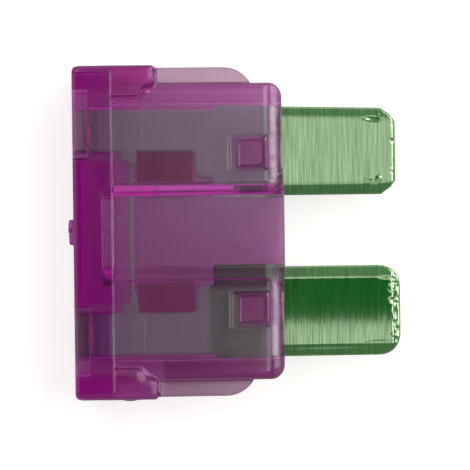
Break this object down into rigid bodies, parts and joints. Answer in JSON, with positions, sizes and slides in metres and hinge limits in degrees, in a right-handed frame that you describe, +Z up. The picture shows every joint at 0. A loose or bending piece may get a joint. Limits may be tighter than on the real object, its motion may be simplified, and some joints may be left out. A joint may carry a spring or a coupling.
{
  "type": "automotive blade fuse",
  "caption": "Plug-in blade fuse: clear violet housing with a thick head, side wings and raised middle panel, round a one-piece metal stamping with a thin link.",
  "frame": {"origin": "on the surface the fuse lies on, under the middle of its bounding box", "axes": "+X along the blades towards their tips, +Y across both blades, +Z up through the thickness"},
  "size_m": [0.019, 0.0192, 0.0051],
  "materials": {
    "violet_plastic": "clear moulded, gloss",
    "zinc": "rolled and coined zinc strip, satin"
  },
  "bodies": {
    "root": {"housing": "violet_plastic", "fuse_element": "zinc"}
  },
  "joints": []
}
